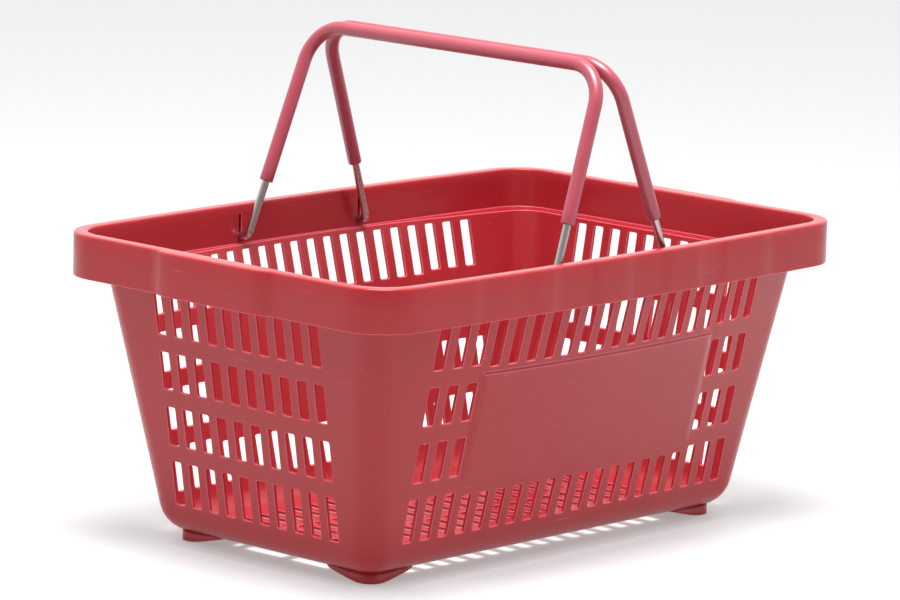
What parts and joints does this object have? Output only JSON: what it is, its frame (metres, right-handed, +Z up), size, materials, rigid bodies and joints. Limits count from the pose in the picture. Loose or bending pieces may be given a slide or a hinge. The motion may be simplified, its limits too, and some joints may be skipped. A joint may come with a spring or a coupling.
{
  "type": "hand-held shopping basket",
  "caption": "Tapered slotted plastic shopping basket with a deep hollow rim, low corner feet and two wire carrying bails with plastic grip sleeves.",
  "frame": {"origin": "on the floor under the middle of the basket, where the lowest faces of the feet lie", "axes": "+Z up; +X along the long side; +Y across, along the pivot axes of the bails"},
  "size_m": [0.438, 0.297, 0.3135],
  "materials": {
    "basket_plastic": "moulded red polypropylene, semi-gloss",
    "zinc_wire": "bright zinc-plated drawn wire",
    "grip_plastic": "soft red extruded sleeve, satin"
  },
  "bodies": {
    "basket": {"basket_shell": "basket_plastic"},
    "left_bail": {"left_bail_wire": "zinc_wire", "left_grip_sleeve": "grip_plastic"},
    "right_bail": {"right_bail_wire": "zinc_wire", "right_grip_sleeve": "grip_plastic"}
  },
  "joints": [
    {"name": "left_bail_pivot", "type": "hinge", "parent": "basket", "child": "left_bail", "pos_m": [-0.0547, 0, 0.1745], "axis": [0, -1, 0], "range_deg": [0, 110]},
    {"name": "right_bail_pivot", "type": "hinge", "parent": "basket", "child": "right_bail", "pos_m": [0.0547, 0, 0.1745], "axis": [0, 1, 0], "range_deg": [0, 110]}
  ]
}
